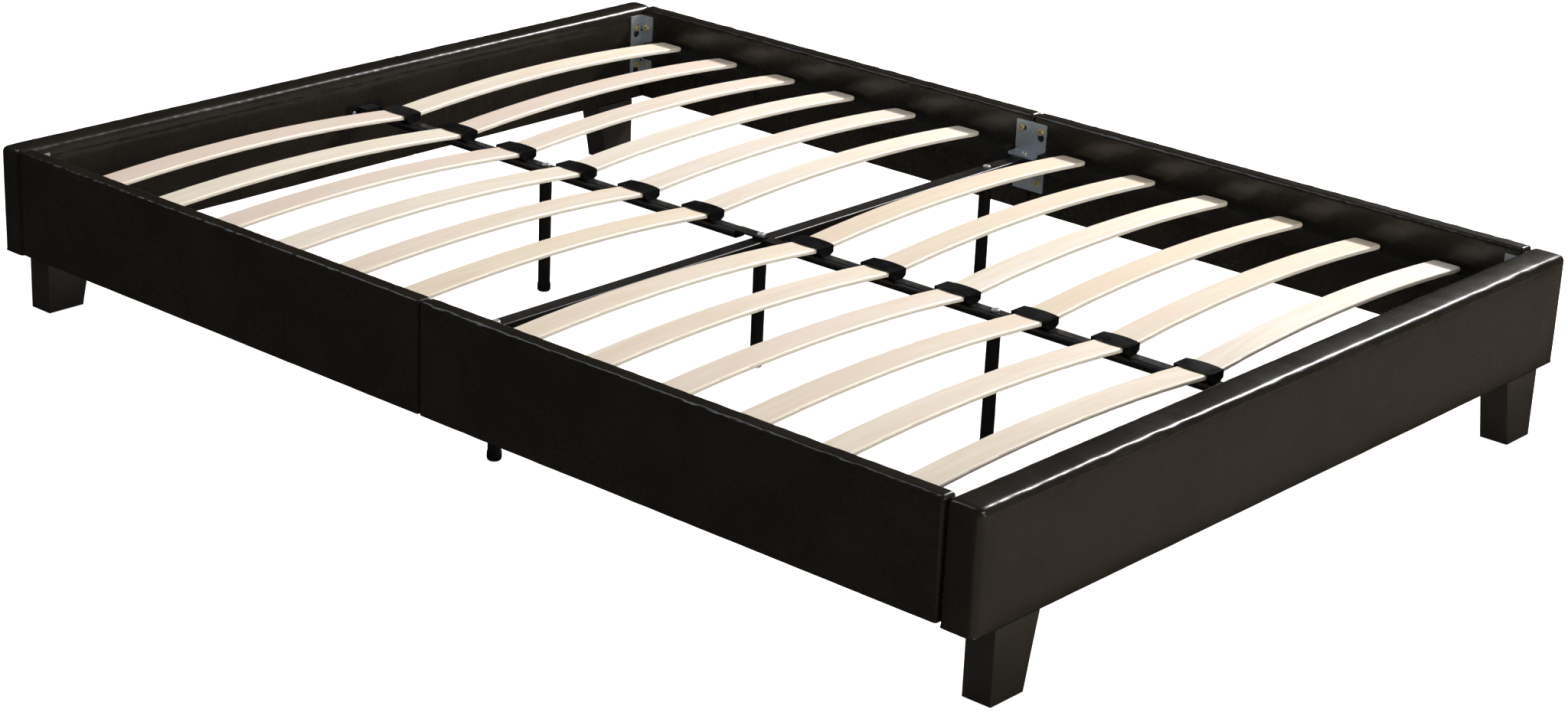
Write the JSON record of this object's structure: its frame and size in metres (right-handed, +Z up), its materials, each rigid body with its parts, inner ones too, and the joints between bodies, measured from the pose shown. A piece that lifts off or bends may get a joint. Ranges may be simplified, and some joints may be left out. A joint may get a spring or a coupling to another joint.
{
  "type": "platform bed frame",
  "caption": "Knock-down platform bed frame: padded black faux-leather rails on block legs, with bowed wooden slats on a steel centre beam, cross beam and tube legs.",
  "frame": {"origin": "on the floor, at the centre of the bed's outline", "axes": "+X across the bed to its right side as seen from the foot, +Y along the bed from the foot to the head, +Z up"},
  "size_m": [1.48, 2.03, 0.29],
  "materials": {
    "black_leather": "grained faux leather with a satin sheen",
    "rail_timber": "raw sawn pine",
    "black_batten": "black stained",
    "birch_ply": "smooth lacquered birch plywood",
    "black_plastic": "moulded satin",
    "black_leg": "satin black lacquer",
    "zinc_plate": "blue-grey zinc",
    "yellow_zinc": "yellow passivated zinc",
    "bright_zinc": "bright zinc",
    "black_steel": "black powder coat"
  },
  "bodies": {
    "root": {"beam_socket_foot": "black_steel", "beam_socket_head": "black_steel", "beam_socket_screws": "bright_zinc", "centre_beam_foot_half": "black_steel", "centre_beam_head_half": "black_steel", "corner_bracket_bolts": "yellow_zinc", "corner_bracket_left_foot": "zinc_plate", "corner_bracket_left_head": "zinc_plate", "corner_bracket_right_foot": "zinc_plate", "corner_bracket_right_head": "zinc_plate", "corner_leg_left_foot": "black_leg", "corner_leg_left_head": "black_leg", "corner_leg_right_foot": "black_leg", "corner_leg_right_head": "black_leg", "cross_beam": "black_steel", "cross_beam_bolts": "bright_zinc", "foot_rail_board": "rail_timber", "foot_rail_cover": "black_leather", "head_rail_board": "rail_timber", "head_rail_cover": "black_leather", "ledger_screws": "black_steel", "left_rail_foot_board": "rail_timber", "left_rail_foot_cover": "black_leather", "left_rail_head_board": "rail_timber", "left_rail_head_cover": "black_leather", "leg_hanger_bolts": "bright_zinc", "mid_bracket_bolts": "yellow_zinc", "mid_bracket_left": "zinc_plate", "mid_bracket_right": "zinc_plate", "right_rail_foot_board": "rail_timber", "right_rail_foot_cover": "black_leather", "right_rail_head_board": "rail_timber", "right_rail_head_cover": "black_leather", "slat_caps": "black_plastic", "slat_ledger_left_foot": "black_batten", "slat_ledger_left_head": "black_batten", "slat_ledger_right_foot": "black_batten", "slat_ledger_right_head": "black_batten", "slat_pair_01": "birch_ply", "slat_pair_02": "birch_ply", "slat_pair_03": "birch_ply", "slat_pair_04": "birch_ply", "slat_pair_05": "birch_ply", "slat_pair_06": "birch_ply", "slat_pair_07": "birch_ply", "slat_pair_08": "birch_ply", "slat_pair_09": "birch_ply", "slat_pair_10": "birch_ply", "slat_pair_11": "birch_ply", "slat_pair_12": "birch_ply", "support_leg_bolts": "bright_zinc", "support_leg_centre": "black_steel", "support_leg_feet": "black_plastic", "support_leg_foot": "black_steel", "support_leg_head": "black_steel", "support_leg_left": "black_steel", "support_leg_right": "black_steel"}
  },
  "joints": []
}
